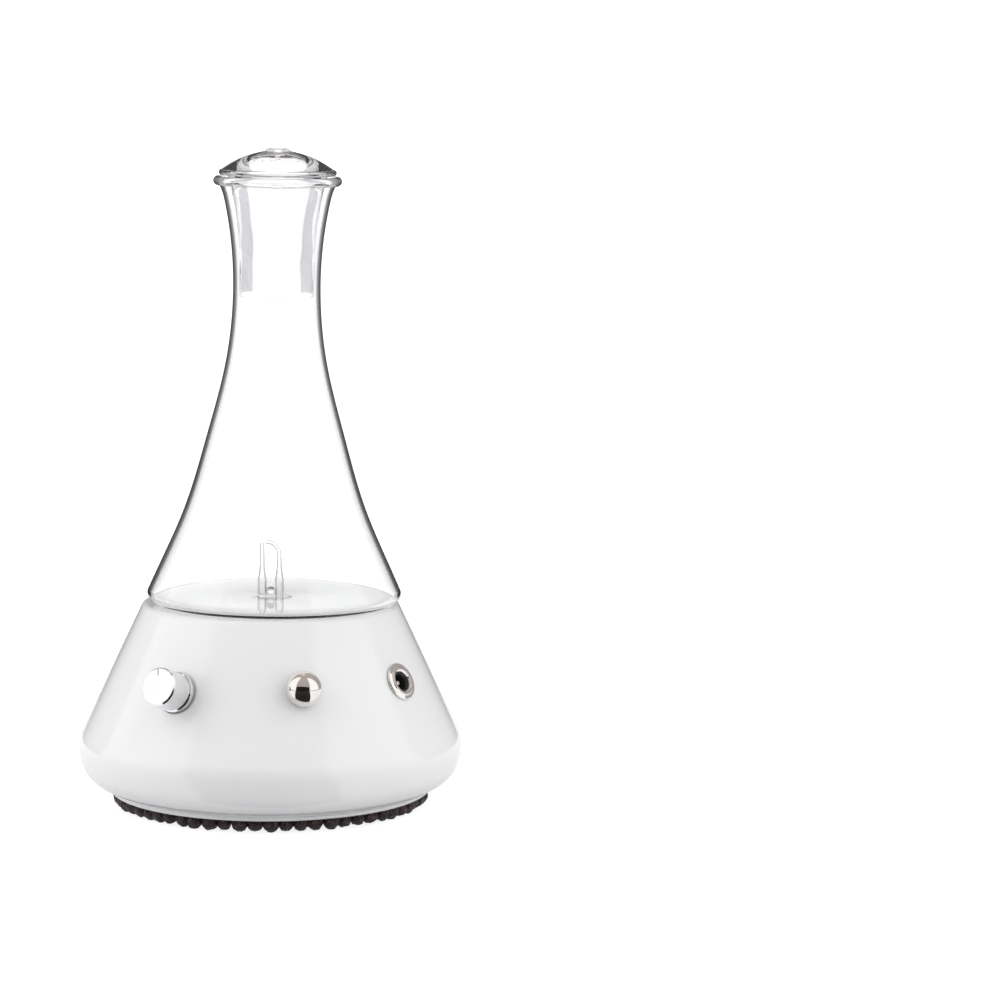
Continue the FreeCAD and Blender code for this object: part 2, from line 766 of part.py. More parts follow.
def motor_bushes():
    end = -PUMP_HALF - MOTOR_LENGTH
    inner = SHAFT_RADIUS + RUNNING_FIT
    bushes = []
    for x0, x1 in ((end + 0.2, end + 3.0), (-PUMP_HALF - 1.2, -PUMP_HALF + 1.6)):
        bushes.append(rod_x(2.5, x0, x1).cut(rod_x(inner, x0 - 1, x1 + 1)))
    return group(bushes)


def rotor_shaft():
    return rod_x(SHAFT_RADIUS, -PUMP_HALF - MOTOR_LENGTH + 0.4, -2.6)


def rotor_core():
    """Laminated three-pole core, with the winding slots cut between the poles."""
    start = -PUMP_HALF - MOTOR_LENGTH + 9.5
    core = rod_x(8.5, start, start + 15.0).cut(rod_x(SHAFT_RADIUS, start - 1, start + 16))
    for i in range(3):
        slot = box(start - 1, start + 16, -0.8, 0.8, PUMP_AXIS_Z + 6.0, PUMP_AXIS_Z + 9.0)
        window = box(start - 1, start + 16, -2.6, 2.6, PUMP_AXIS_Z + 3.6, PUMP_AXIS_Z + 7.0)
        cutter = slot.fuse(window)
        cutter.rotate(vec(0, 0, PUMP_AXIS_Z), vec(1, 0, 0), 120.0 * i)
        core = core.cut(cutter)
    return core


def rotor_windings():
    start = -PUMP_HALF - MOTOR_LENGTH + 9.7
    coils = []
    for i in range(3):
        coil = box(start, start + 14.6, -2.4, 2.4, PUMP_AXIS_Z + 3.8, PUMP_AXIS_Z + 5.8)
        coil.rotate(vec(0, 0, PUMP_AXIS_Z), vec(1, 0, 0), 120.0 * i)
        coils.append(coil)
    return group(coils)


def commutator():
    start = -PUMP_HALF - MOTOR_LENGTH + 3.6
    drum = rod_x(2.6, start, start + 4.4).cut(rod_x(SHAFT_RADIUS, start - 1, start + 6))
    for i in range(3):
        slit = box(start - 1, start + 6, -0.15, 0.15, PUMP_AXIS_Z + 1.8, PUMP_AXIS_Z + 3)
        slit.rotate(vec(0, 0, PUMP_AXIS_Z), vec(1, 0, 0), 60.0 + 120.0 * i)
        drum = drum.cut(slit)
    return drum


def crank():
    """Balanced disc on the shaft's end, with the crank pin off its centre."""
    disc = rod_x(5.0, -6.6, -2.6).cut(rod_x(SHAFT_RADIUS, -8, 0))
    pin = rod_x(1.2, -2.6, 5.0, 0.0, PUMP_AXIS_Z + CRANK_THROW)
    relief = rod_x(1.6, -7, -2, 0.0, PUMP_AXIS_Z + 3.0).cut(rod_x(1.8, -7, -2))
    return disc.cut(relief).fuse(pin)


def pump_mounts():
    """Rubber pads: one under the crank case, one saddle under the motor."""
    pad = box(-11, 11, -11, 11, COVER_TOP, 10.0)
    saddle = box(-36, -28, -9, 9, COVER_TOP, 19.0)
    saddle = saddle.cut(rod_x(MOTOR_RADIUS, -40, -20))
    return group([pad, saddle])


def pump_strap():
    arch = rod_x(MOTOR_RADIUS + 0.8, -35, -29).cut(rod_x(MOTOR_RADIUS, -36, -28))
    arch = arch.cut(box(-40, -20, -20, 20, 0, PUMP_AXIS_Z))
    strap = arch
    for side in (-1, 1):
        inner = side * MOTOR_RADIUS
        outer = side * (MOTOR_RADIUS + 0.8)
        foot = side * 20.0
        leg = box(-35, -29, min(inner, outer), max(inner, outer), COVER_TOP, PUMP_AXIS_Z)
        tab = box(-35, -29, min(inner, foot), max(inner, foot), COVER_TOP, COVER_TOP + 0.8)
        strap = strap.fuse(leg).fuse(tab)
    for place in strap_screw_places():
        strap = strap.cut(cylinder(1.4, COVER_TOP - 1, COVER_TOP + 2, place.x, place.y))
    return strap.removeSplitter()


def strap_screws():
    return group([screw(p, COVER_TOP + 0.8, 2.4, 1.6, 1.25, 2.7, False) for p in strap_screw_places()])


# ------------------------------------------------------------------ circuit board

def board_top():
    return BOARD_Z + BOARD_THICKNESS


def main_board():
    board = box(-BOARD_HALF_X, BOARD_HALF_X, BOARD_FRONT_Y, BOARD_BACK_Y, BOARD_Z, board_top())
    uprights = [e for e in board.Edges if e.BoundBox.ZLength > 1.0]
    board = board.makeFillet(1.5, uprights)
    for place in board_screw_places():
        board = board.cut(cylinder(1.2, BOARD_Z - 1, board_top() + 1, place.x, place.y))
    return board


def board_screws():
    return group([screw(p, board_top(), 2.0, 1.3, 1.0, 5.5, False) for p in board_screw_places()])


def control_chip():
    body = box(-5, 5, -36, -30, board_top() + 0.2, board_top() + 1.8)
    chip = body
    for i in range(8):
        x = -4.2 + 1.2 * i
        chip = chip.fuse(box(x - 0.2, x + 0.2, -37.4, -28.6, board_top(), board_top() + 0.5))
    return chip


def capacitors():
    cans = []
    for x, y in ((-18.0, -30.0), (-18.0, -38.0)):
        can = turned([(0, 0), (3.1, 0, 0.4), (3.1, 9.0, 0.6), (0, 9.0)])
        can.translate(vec(x, y, board_top()))
        cans.append(can)
    return group(cans)


def power_inductor():
    bobbin = [(0, 0), (4.4, 0), (4.4, 1.0), (3.4, 1.4), (3.4, 3.6), (4.4, 4.0), (4.4, 5.0, 0.4), (0, 5.0)]
    return turned_at(bobbin, 12.0, -40.5)


def turned_at(corners, x, y):
    shape = turned(corners)
    shape.translate(vec(x, y, board_top()))
    return shape


def header_places():
    """Where each plug stands on the board, by what it feeds."""
    return {
        "motor": vec(-12.0, -23.5, board_top()),
        "light": vec(0.0, -23.5, board_top()),
        "jack": vec(19.0, -31.0, board_top()),
        "ball": vec(0.0, -43.0, board_top()),
        "knob": vec(-9.0, -43.0, board_top()),
    }


def wire_headers():
    headers = []
    for place in header_places().values():
        body = box(-3.2, 3.2, -1.8, 1.8, 0, HEADER_HEIGHT)
        body.translate(place)
        headers.append(body)
    return group(headers)


def wire(start, start_lift, end, end_lift, radius=0.55):
    """A single insulated wire; the lifts are the points it first and last passes."""
    middle = (start + start_lift) * 0.5 + (end + end_lift) * 0.5
    return tube_along([start, start + start_lift, middle, end + end_lift, end], radius)


def wires_between(starts, start_lift, plug, pitch=1.5):
    """One wire from each start point to its own pin on a plug."""
    wires = []
    for i, start in enumerate(starts):
        offset = (i - (len(starts) - 1) / 2.0) * pitch
        end = header_places()[plug] + vec(offset, 0, WIRE_LIFT)
        wires.append(wire(start, start_lift, end, vec(0, 0, 5.0)))
    return group(wires)


def jack_wires():
    starts = [point_of(at_jack, x, 0, -13.55) for x in (-2.0, 2.0)]
    lift = point_of(at_jack, 0, 0, -18.0) - point_of(at_jack, 0, 0, -13.0)
    return wires_between(starts, lift, "jack", 2.4)


def ball_wire():
    start = point_of(at_ball, 0, 0, -12.05)
    lift = point_of(at_ball, 0, 0, -17.0) - point_of(at_ball, 0, 0, -12.0)
    return wires_between([start], lift, "ball")


def knob_wires():
    starts = [point_of(at_knob, x, -2, -14.05) for x in (-2.5, 0.0, 2.5)]
    lift = point_of(at_knob, 0, 0, -19.0) - point_of(at_knob, 0, 0, -14.0)
    return wires_between(starts, lift, "knob", 2.0)


def motor_wires():
    wires = []
    end_x = -PUMP_HALF - MOTOR_LENGTH - 3.85
    for i, y in enumerate((-7.0, 7.0)):
        plug = header_places()["motor"] + vec(-1.2 + 2.4 * i, 0, WIRE_LIFT)
        level = PUMP_AXIS_Z + 3.0 + 2.0 * i
        route = [
            vec(end_x, y, PUMP_AXIS_Z),
            vec(end_x - 1.6, y - 1.5, PUMP_AXIS_Z + 1.0),
            vec(-44.0, -14.5 + 2.0 * i, level),
            vec(-30.0, -19.0, level),
            plug + vec(-3, 1, 6.0 + 1.5 * i),
            plug,
        ]
        wires.append(tube_along(route, 0.55))
    return group(wires)


def light_wires():
    wires = []
    for i in range(2):
        plug = header_places()["light"] + vec(-1.2 + 2.4 * i, 0, WIRE_LIFT)
        route = [
            vec(-1.2 + 2.4 * i, -18.0, LED_BOARD_Z - 0.6),
            vec(-1.2 + 2.4 * i, -19.0, LED_BOARD_Z - 6.0),
            vec(-1.2 + 2.4 * i, -22.0, 50.0),
            plug + vec(0, 1.0, 8.0),
            plug,
        ]
        wires.append(tube_along(route, 0.55))
    return group(wires)


def wiring():
    """Every insulated wire, as separate solids."""
    loom = []
    for run in (jack_wires(), ball_wire(), knob_wires(), motor_wires(), light_wires()):
        loom.extend(run.Solids)
    return group(loom)


# ------------------------------------------------------------------ knob and its control

def knob_shell():
    """Turned aluminium cap with a bright face, a bevelled edge, a groove and a back flange."""
    shell = turned([
        (6.9, 0.6),
        (KNOB_FLANGE_RADIUS, 0.6, 0.3),
        (KNOB_FLANGE_RADIUS, 2.6, 0.3),
        (KNOB_RADIUS - 0.2, 3.0),
        (KNOB_RADIUS - 0.2, 3.7),
        (KNOB_RADIUS, 3.9),
        (KNOB_RADIUS, KNOB_LENGTH - 0.7),
        (KNOB_RADIUS - 0.55, KNOB_LENGTH),
        (0, KNOB_LENGTH),
        (0, 12.0),
        (6.9, 12.0),
    ])
    notch = box(-0.35, 0.35, KNOB_RADIUS - 3.2, KNOB_RADIUS + 1, KNOB_LENGTH - 0.35, KNOB_LENGTH + 1)
    notch.rotate(ORIGIN, UP, 12.0)
    return at_knob(shell.cut(notch))


def knob_insert():
    body = turned([
        (6.1, 0.1),
        (7.6, 0.1),
        (7.6, 0.6),
        (6.9, 0.6),
        (6.9, 12.0),
        (0, 12.0),
        (0, 4.0),
        (6.1, 4.0),
    ])
    return at_knob(body.cut(control_shaft_shape()))


def control_shaft_shape():
    lower = cylinder(3.0, -11.0, 4.0)
    upper = cylinder(3.0, 4.0, 11.0).cut(box(-5, 5, 1.5, 5, 4.0, 12.0))
    return lower.fuse(upper).removeSplitter()


def control_shaft():
    return at_knob(control_shaft_shape())


def control_bushing():
    bushing = turned([
        (3.0 + RUNNING_FIT, -8.0),
        (5.0, -8.0),
        (5.0, -4.9),
        (3.5, -4.9),
        (3.5, 2.2, 0.3),
        (3.0 + RUNNING_FIT, 2.2),
    ])
    return at_knob(bushing)


def control_body():
    """Round case of the rotary control, with its three solder tags below."""
    case = turned([
        (0, -13.6),
        (8.0, -13.6, 0.5),
        (8.0, -4.9, 0.5),
        (5.0, -4.9),
        (5.0, -8.0),
        (3.4, -8.0),
        (3.4, -12.0),
        (0, -12.0),
    ])
    for x in (-4.0, 0.0, 4.0):
        case = case.fuse(box(x - 0.6, x + 0.6, -11.0, -7.0, -10.0, -9.6))
    return at_knob(case)


def control_washer():
    return at_knob(ring(5.6, 3.55, -KNOB_SEAT, -KNOB_SEAT + 0.5))


def control_nut():
    nut = hexagon(9.5, -KNOB_SEAT + 0.5, 1.5).cut(cylinder(3.5, -2, 3))
    return at_knob(nut)


# ------------------------------------------------------------------ touch ball

def touch_ball():
    ball = Part.makeSphere(BALL_RADIUS, vec(0, 0, BALL_STANDOFF)).cut(cylinder(10, -10, 0.12))
    stud = cylinder(1.5, -12.0, 0.2)
    return at_ball(ball.fuse(stud).removeSplitter())


def touch_bush():
    """Insulating bush that keeps the ball's stud off the wall."""
    bush = turned([
        (1.5, -4.4),
        (6.0, -4.4, 0.3),
        (6.0, -3.3),
        (4.0, -3.3),
        (4.0, 0.0),
        (1.5, 0.0),
    ])
    return at_ball(bush)


def touch_nut():
    return at_ball(hexagon(5.5, -6.8, -4.4).cut(cylinder(1.5, -8, 0)))


# ------------------------------------------------------------------ power socket

def jack_bezel():
    """Chromed barrel with a rounded flange and a raised ring round the hole."""
    bezel = turned([
        (JACK_BORE, -11.0),
        (5.9, -11.0, 0.3),
        (5.9, 0.1),
        (7.8, 0.1, 0.2),
        (7.8, 0.9, 0.5),
        (6.2, 1.2),
        (5.8, 1.6, 0.3),
        (4.9, 1.6, 0.3),
        (JACK_BORE, 1.0),
    ])
    return at_jack(bezel)


def jack_core():
    """Black moulding inside the barrel, with the plug's hole in it."""
    core = turned([
        (0, -13.0),
        (JACK_BORE, -13.0, 0.4),
        (JACK_BORE, 0.8),
        (3.8, 0.8),
        (3.2, 0.0),
        (3.2, -10.0),
        (0, -10.0),
    ])
    core = core.cut(cylinder(1.5, -14, -9))
    return at_jack(core.cut(box(-0.8, 0.8, -3.4, -2.8, -12.0, -2.0)))


def jack_pin():
    """Centre pin; its thicker root is moulded into the core."""
    pin = turned([
        (0, -13.5),
        (1.5, -13.5),
        (1.5, -10.0),
        (JACK_PIN_RADIUS, -10.0),
        (JACK_PIN_RADIUS, -1.0, 0.5),
        (0, -1.0),
    ])
    return at_jack(pin)


def jack_contact():
    """Sprung side contact that presses on the plug's sleeve."""
    leaf = box(-0.8, 0.8, -3.4, -3.0, -12.0, -2.0)
    bump = Part.makeCylinder(0.7, 1.6, vec(-0.8, -2.9, -4.0), vec(1, 0, 0))
    bump = bump.common(box(-0.8, 0.8, -3.0, -2.0, -5, -3))
    return at_jack(leaf.fuse(bump))


def jack_nut():
    return at_jack(hexagon(14.0, -5.9, -3.8).cut(cylinder(5.9, -8, 0)))


# ------------------------------------------------------------------ all parts

def main():
    os.makedirs("parts", exist_ok=True)
    pieces = [
        housing_shell, bottom_cover, cover_screws, lava_beads, inlet_filter,
        glass_flask, oil_feed_tube, air_jet_tube, tube_bridge, glass_stopper,
        stem_socket, stem_seal, light_lens, led_board, led_board_pins, light_leds, air_hose,
        crank_case, diaphragm, valve_plate, pump_head, pump_bolts, connecting_rod,
        motor_can, motor_end_cap, motor_terminals, motor_brushes, motor_magnets, motor_bushes,
        rotor_shaft, rotor_core, rotor_windings, commutator, crank,
        pump_mounts, pump_strap, strap_screws,
        main_board, board_screws, control_chip, capacitors, power_inductor, wire_headers, wiring,
        knob_shell, knob_insert, control_shaft, control_bushing, control_body,
        control_washer, control_nut,
        touch_ball, touch_bush, touch_nut,
        jack_bezel, jack_core, jack_pin, jack_contact, jack_nut,
    ]
    for piece in pieces:
        save(piece.__name__, piece())


main()
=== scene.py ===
import json
import math
import random

import bmesh
import bpy
from mathutils import Matrix, Vector, noise


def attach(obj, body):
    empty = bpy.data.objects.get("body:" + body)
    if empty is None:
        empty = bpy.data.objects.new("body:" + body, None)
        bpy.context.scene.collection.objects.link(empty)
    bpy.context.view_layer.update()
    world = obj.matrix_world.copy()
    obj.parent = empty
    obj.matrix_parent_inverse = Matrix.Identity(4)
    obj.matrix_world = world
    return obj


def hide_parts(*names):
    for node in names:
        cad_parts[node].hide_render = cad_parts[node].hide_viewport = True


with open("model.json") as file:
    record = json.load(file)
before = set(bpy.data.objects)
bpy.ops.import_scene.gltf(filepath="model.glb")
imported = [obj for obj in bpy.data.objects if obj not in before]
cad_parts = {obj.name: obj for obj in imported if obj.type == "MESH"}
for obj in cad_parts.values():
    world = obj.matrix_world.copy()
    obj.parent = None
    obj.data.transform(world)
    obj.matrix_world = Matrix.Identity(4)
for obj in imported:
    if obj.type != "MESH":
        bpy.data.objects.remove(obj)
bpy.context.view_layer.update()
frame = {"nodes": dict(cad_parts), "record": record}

# Nebulizing oil diffuser: glass flask, stopper and nozzle over a glossy white base.
# Outlines are (radius, height) pairs in millimetres, as in the CAD; meshes are in metres.
MM = 0.001
SHARP_ANGLE = math.radians(35.0)     # edges that fold more than this stay crisp

# ---- base ----
CONE_FOOT = (77.8, 30.1)
CONE_SLOPE = 0.476
DECK_Z = 83.4
COVER_Z = 5.0

# ---- stones ----
STONE_COUNT = 63
STONE_CIRCLE = 62.3
STONE_RADIUS = 3.3
STONE_Z = 3.3

# ---- controls ----
CONTROL_HEIGHT = 56.5
BALL_HEIGHT = 57.4
CONE_NORMAL = math.degrees(math.atan(CONE_SLOPE))
KNOB_AZIMUTH = -45.6
KNOB_ELEVATION = 20.0
JACK_AZIMUTH = 42.0
BALL_RADIUS = 7.3
BALL_STANDOFF = 3.3
JACK_BORE = 4.2

# ---- glass ----
GLASS_WALL = 1.6
FLASK_Z = DECK_Z + 0.05
FLASK_CORNER = (54.0, FLASK_Z)
SHOULDER = (48.1, 96.6)
CORNER_ROUND = 3.2
BODY_OFFSET = 1.5          # the blown body stands off its stem's axis
BODY_LEAN = 0.46           # and leans this many degrees towards +X
BODY_LIFT = 0.39
RIM_RADIUS = 26.2
RIM_BEAD = 1.9
RIM_Z = 256.1
STEM_RADIUS = 7.5
STEM_WALL = 1.6
STEM_BOTTOM = 66.0
STOPPER_BOTTOM = 209.0
STOPPER_TOP = 269.2
FLANGE_RADIUS = 24.0
FLANGE_Z = 258.4
FLANGE_THICKNESS = 2.3
VENT_RADIUS = 2.4
TUBE_OFFSET = 3.6
TUBE_RADIUS = 1.85
TUBE_SHOULDER_Z = 91.5
CAPILLARY_Z = 97.0
CAPILLARY_RADIUS = 0.85
CAPILLARY_BORE = 0.62
TUBE_WALL = 0.5
NOZZLE_TOP = 107.6
BEND_RADIUS = 5.7
BEND_Z = NOZZLE_TOP + 0.5 - BEND_RADIUS
BRIDGE_Z = 87.6

# ---- camera and studio ----
CAMERA_AZIMUTH = -11.3     # negative is towards -X from the front
CAMERA_DISTANCE = 1.54
CAMERA_HEIGHT = 0.3326
CAMERA_PITCH = 7.66
CAMERA_YAW = 3.48          # turned away from the object, which stands left in the frame
CAMERA_LENS = 135.7
BACKDROP = 1.15
ROOM_COLOUR = (0.20, 0.195, 0.20)
ROOM_FLOOR = (0.09, 0.087, 0.09)
ROOM_SIDES = (0.42, 0.40, 0.41)
CEILING = (0.50, 0.45, 0.42)
INSIDE_GLASS = (0.70, 0.67, 0.71)
SKY_FILL = 0.66
PANEL_GLOW = 1.15
LEFT_RADIANCE = 1.30
RIGHT_RADIANCE = 1.12
FLOOR_BOUNCE = (0.65, 0.65, 0.66)
FLOOR_SIZE = 400.0
FLOOR_GLOW = 0.86          # near the object; it grows with distance to the backdrop's
FLOOR_SHEEN = 0.4
GLOW_START = 0.09
GLOW_END = 0.7
TABLE_REACH = 0.6
INSIDE_SKY = 1.25
BOX_DISTANCE = 1.25
BOX_HEIGHT = 1.0
BOX_TALL = 2.6


# ------------------------------------------------------------------ outlines

def arc(centre, radius, start, end, steps):
    """Points on an arc, angles in degrees from the +radius direction."""
    points = []
    for i in range(steps + 1):
        angle = math.radians(start + (end - start) * i / steps)
        points.append((centre[0] + radius * math.cos(angle), centre[1] + radius * math.sin(angle)))
    return points


def spline(knots, steps):
    """Natural cubic spline through the knots, by chord length, steps points to each span."""
    lengths = [0.0]
    for a, b in zip(knots, knots[1:]):
        lengths.append(lengths[-1] + math.hypot(b[0] - a[0], b[1] - a[1]))
    count = len(knots)
    columns = []
    for axis in (0, 1):
        values = [k[axis] for k in knots]
        bends = [0.0] * count
        scratch = [0.0] * count
        for i in range(1, count - 1):
            before = lengths[i] - lengths[i - 1]
            after = lengths[i + 1] - lengths[i]
            share = before / (before + after)
            weight = share * bends[i - 1] + 2.0
            bends[i] = (share - 1.0) / weight
            jump = (values[i + 1] - values[i]) / after - (values[i] - values[i - 1]) / before
            scratch[i] = (6.0 * jump / (before + after) - share * scratch[i - 1]) / weight
        for i in range(count - 2, -1, -1):
            bends[i] = bends[i] * bends[i + 1] + scratch[i]
        column = []
        for i in range(count - 1):
            span = lengths[i + 1] - lengths[i]
            for step in range(steps):
                b = step / steps
                a = 1.0 - b
                bow = ((a ** 3 - a) * bends[i] + (b ** 3 - b) * bends[i + 1]) * span * span / 6.0
                column.append(a * values[i] + b * values[i + 1] + bow)
        column.append(values[-1])
        columns.append(column)
    return list(zip(columns[0], columns[1]))


def shifted(points, distance):
    """The open outline moved sideways, towards its left-hand side."""
    moved = []
    for i, point in enumerate(points):
        before = points[max(i - 1, 0)]
        after = points[min(i + 1, len(points) - 1)]
        dr = after[0] - before[0]
        dz = after[1] - before[1]
        length = math.hypot(dr, dz)
        moved.append((point[0] - dz / length * distance, point[1] + dr / length * distance))
    return moved


def rounded(corners, steps=6):
    """Outline through corners (x, z) or (x, z, radius), rounded where a radius is given."""
    points = []
    count = len(corners)
    for i, corner in enumerate(corners):
        here = Vector(corner[:2])
        if len(corner) < 3:
            points.append(tuple(here))
            continue
        back = (Vector(corners[i - 1][:2]) - here).normalized()
        ahead = (Vector(corners[(i + 1) % count][:2]) - here).normalized()
        half = back.angle(ahead) / 2.0
        centre = here + (back + ahead).normalized() * corner[2] / math.sin(half)
        first = here + back * corner[2] / math.tan(half) - centre
        last = here + ahead * corner[2] / math.tan(half) - centre
        turn = first.angle_signed(last)
        for step in range(steps + 1):
            spoke = first.copy()
            spoke.rotate(Matrix.Rotation(-turn * step / steps, 2))
            points.append(tuple(centre + spoke))
    return points


# ------------------------------------------------------------------ meshes

def new_object(name, bm, body, node):
    """Turn a bmesh into a piece that rides on a body and stands for a CAD node."""
    bmesh.ops.recalc_face_normals(bm, faces=bm.faces)
    for edge in bm.edges:
        edge.smooth = edge.calc_face_angle(0.0) < SHARP_ANGLE
    mesh = bpy.data.meshes.new(name)
    bm.to_mesh(mesh)
    bm.free()
    mesh.polygons.foreach_set("use_smooth", [True] * len(mesh.polygons))
    piece = bpy.data.objects.new(name, mesh)
    bpy.context.scene.collection.objects.link(piece)
    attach(piece, body)
    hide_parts(node)
    return piece


def turn(bm, outline, segments, matrix=None):
    """Add the closed outline, turned about the Z axis, to the bmesh."""
    rings = []
    for radius, height in outline:
        spots = 1 if radius < 1e-6 else segments
        ring = []
        for k in range(spots):
            angle = 2.0 * math.pi * k / segments
            spot = Vector((radius * math.cos(angle), radius * math.sin(angle), height)) * MM
            if matrix:
                spot = matrix @ spot
            ring.append(bm.verts.new(spot))
        rings.append(ring)
    for low, high in zip(rings, rings[1:] + rings[:1]):
        if len(low) == 1 and len(high) == 1:
            continue
        for k in range(segments):
            after = (k + 1) % segments
            lower = [low[k % len(low)], low[after % len(low)]]
            upper = [high[after % len(high)], high[k % len(high)]]
            bm.faces.new(list(dict.fromkeys(lower + upper)))


def lathe(name, outline, body, node, segments, matrix=None):
    """A turned piece that stands for a CAD node."""
    bm = bmesh.new()
    turn(bm, outline, segments, matrix)
    return new_object(name, bm, body, node)


def wall_matrix(azimuth, height, elevation):
    """Where a fitting drawn along +Z sits on the cone of the housing."""
    radius = CONE_FOOT[0] - CONE_SLOPE * (height - CONE_FOOT[1])
    angle = math.radians(azimuth)
    seat = Vector((radius * math.sin(angle), -radius * math.cos(angle), height)) * MM
    tilt = Matrix.Rotation(math.radians(90.0 - elevation), 4, "X")
    return Matrix.Translation(seat) @ Matrix.Rotation(angle, 4, "Z") @ tilt


# ------------------------------------------------------------------ material nodes

class Shader:
    """A material whose Principled shader is fed by procedural nodes."""

    def __init__(self, name, **values):
        self.material = bpy.data.materials.new(name)
        self.material.use_nodes = True
        self.tree = self.material.node_tree
        self.shader = self.tree.nodes["Principled BSDF"]
        for socket, value in values.items():
            self.shader.inputs[socket.replace("_", " ")].default_value = value
        self.place = self.tree.nodes.new("ShaderNodeTexCoord").outputs["Object"]

    def node(self, kind, **values):
        made = self.tree.nodes.new("ShaderNode" + kind)
        for key, value in values.items():
            setattr(made, key, value)
        return made

    def link(self, source, target):
        self.tree.links.new(source, target)

    def noise(self, scale, detail=4.0, rough=0.5, stretch=None):
        """Noise in object space; scale is in features per metre."""
        made = self.node("TexNoise")
        made.inputs["Scale"].default_value = scale
        made.inputs["Detail"].default_value = detail
        made.inputs["Roughness"].default_value = rough
        self.link(self.stretched(stretch), made.inputs["Vector"])
        return made.outputs["Fac"]

    def stretched(self, stretch):
        if not stretch:
            return self.place
        mapping = self.node("Mapping")
        mapping.inputs["Scale"].default_value = stretch
        self.link(self.place, mapping.inputs["Vector"])
        return mapping.outputs["Vector"]

    def spots(self, scale):
        made = self.node("TexVoronoi", feature="F1")
        made.inputs["Scale"].default_value = scale
        self.link(self.place, made.inputs["Vector"])
        return made.outputs["Distance"]

    def ramp(self, source, stops):
        """Colour ramp from (position, colour) stops; a colour may be one grey number."""
        made = self.node("ValToRGB")
        ramp = made.color_ramp
        while len(ramp.elements) < len(stops):
            ramp.elements.new(0.5)
        for element, (position, colour) in zip(ramp.elements, stops):
            element.position = position
            shade = (colour, colour, colour) if isinstance(colour, float) else colour
            element.color = (*shade, 1.0)
        self.link(source, made.inputs["Fac"])
        return made.outputs["Color"]

    def colour(self, source, stops):
        self.link(self.ramp(source, stops), self.shader.inputs["Base Color"])

    def roughness(self, source, low, high):
        made = self.node("MapRange")
        made.inputs["To Min"].default_value = low
        made.inputs["To Max"].default_value = high
        self.link(source, made.inputs["Value"])
        self.link(made.outputs["Result"], self.shader.inputs["Roughness"])

    def bump(self, source, depth, strength=1.0):
        """Bump from a height source; depth is in metres."""
        made = self.node("Bump")
        made.inputs["Distance"].default_value = depth
        made.inputs["Strength"].default_value = strength
        previous = self.shader.inputs["Normal"].links
        if previous:
            self.link(previous[0].from_socket, made.inputs["Normal"])
        self.link(source, made.inputs["Height"])
        self.link(made.outputs["Normal"], self.shader.inputs["Normal"])


def paint(piece, shader):
    piece.data.materials.clear()
    piece.data.materials.append(shader.material)


def white_glaze():
    shader = Shader("white_glaze", Roughness=0.1, IOR=1.5, Coat_Weight=0.25, Coat_Roughness=0.04)
    shader.colour(shader.noise(22.0, 3.0), [(0.3, (0.845, 0.847, 0.852)), (0.7, (0.87, 0.872, 0.876))])
    shader.roughness(shader.noise(160.0), 0.10, 0.17)
    shader.bump(shader.noise(70.0, 2.0), 0.00004, 0.25)
    return shader


def cover_plastic():
    shader = Shader("cover_plastic", IOR=1.5)
    shader.colour(shader.noise(60.0), [(0.3, (0.80, 0.80, 0.81)), (0.7, (0.84, 0.84, 0.85))])
    shader.roughness(shader.noise(300.0), 0.22, 0.34)
    shader.bump(shader.noise(2200.0), 0.00002, 0.3)
    return shader


def clear_glass(name, ripple, depth):
    """Blown glass; the ripple is how many waves there are to the metre and how deep they are."""
    shader = Shader(name, Roughness=0.0, IOR=1.47, Transmission_Weight=1.0)
    shader.colour(shader.noise(30.0), [(0.3, (0.985, 0.992, 0.99)), (0.7, (1.0, 1.0, 1.0))])
    shader.bump(shader.noise(ripple, 1.0, 0.5, (1.0, 1.0, 0.25)), depth, 1.0)
    absorption = shader.node("VolumeAbsorption")
    absorption.inputs["Color"].default_value = (0.80, 0.88, 0.87, 1.0)
    absorption.inputs["Density"].default_value = 2.0
    shader.link(absorption.outputs["Volume"], shader.tree.nodes["Material Output"].inputs["Volume"])
    return shader


def tube_glass():
    """Thin drawn tubing, which shows as grey lines where it is seen edge on: painted shade, its colour
    darkens towards grey as it turns edge on.
    """
    shader = Shader("tube_glass", Roughness=0.0, IOR=1.47, Transmission_Weight=1.0)
    edge = shader.node("LayerWeight")
    # painted shade: the colour runs from white to grey as the surface turns edge on to the view
    shader.colour(edge.outputs["Facing"], [(0.12, 1.0), (0.65, 0.33)])
    shader.bump(shader.noise(400.0, 1.0), 0.00005, 0.3)
    return shader


def lava_stone():
    shader = Shader("lava_stone", IOR=1.5)
    grain = shader.noise(700.0, 6.0, 0.65)
    shader.colour(grain, [(0.35, (0.003, 0.002, 0.003)), (0.52, (0.020, 0.008, 0.008)),
                          (0.68, (0.11, 0.055, 0.05))])
    shader.roughness(shader.noise(1800.0), 0.05, 0.5)
    shader.bump(shader.spots(1200.0), 0.0006, 1.0)
    shader.bump(grain, 0.0006, 1.0)
    return shader


def polished(name, colour, rough):
    shader = Shader(name, Metallic=1.0)
    darker = tuple(0.96 * c for c in colour)
    shader.colour(shader.noise(80.0), [(0.3, darker), (0.7, colour)])
    shader.roughness(shader.noise(500.0), rough, rough + 0.03)
    return shader


def turned_aluminium():
    """Bright-cut on the face across the knob's axis, satin along its side."""
    shader = polished("turned_aluminium", (0.88, 0.88, 0.89), 0.2)
    facing_out = shader.node("VectorMath", operation="DOT_PRODUCT")
    azimuth = math.radians(KNOB_AZIMUTH)
    rise = math.radians(KNOB_ELEVATION)
    facing_out.inputs[1].default_value = (math.sin(azimuth) * math.cos(rise),
                                          -math.cos(azimuth) * math.cos(rise), math.sin(rise))
    shader.link(shader.place.node.outputs["Normal"], facing_out.inputs[0])
    shader.roughness(facing_out.outputs["Value"], 0.30, 0.05)
    shader.bump(shader.noise(1500.0), 0.000004, 0.25)
    return shader


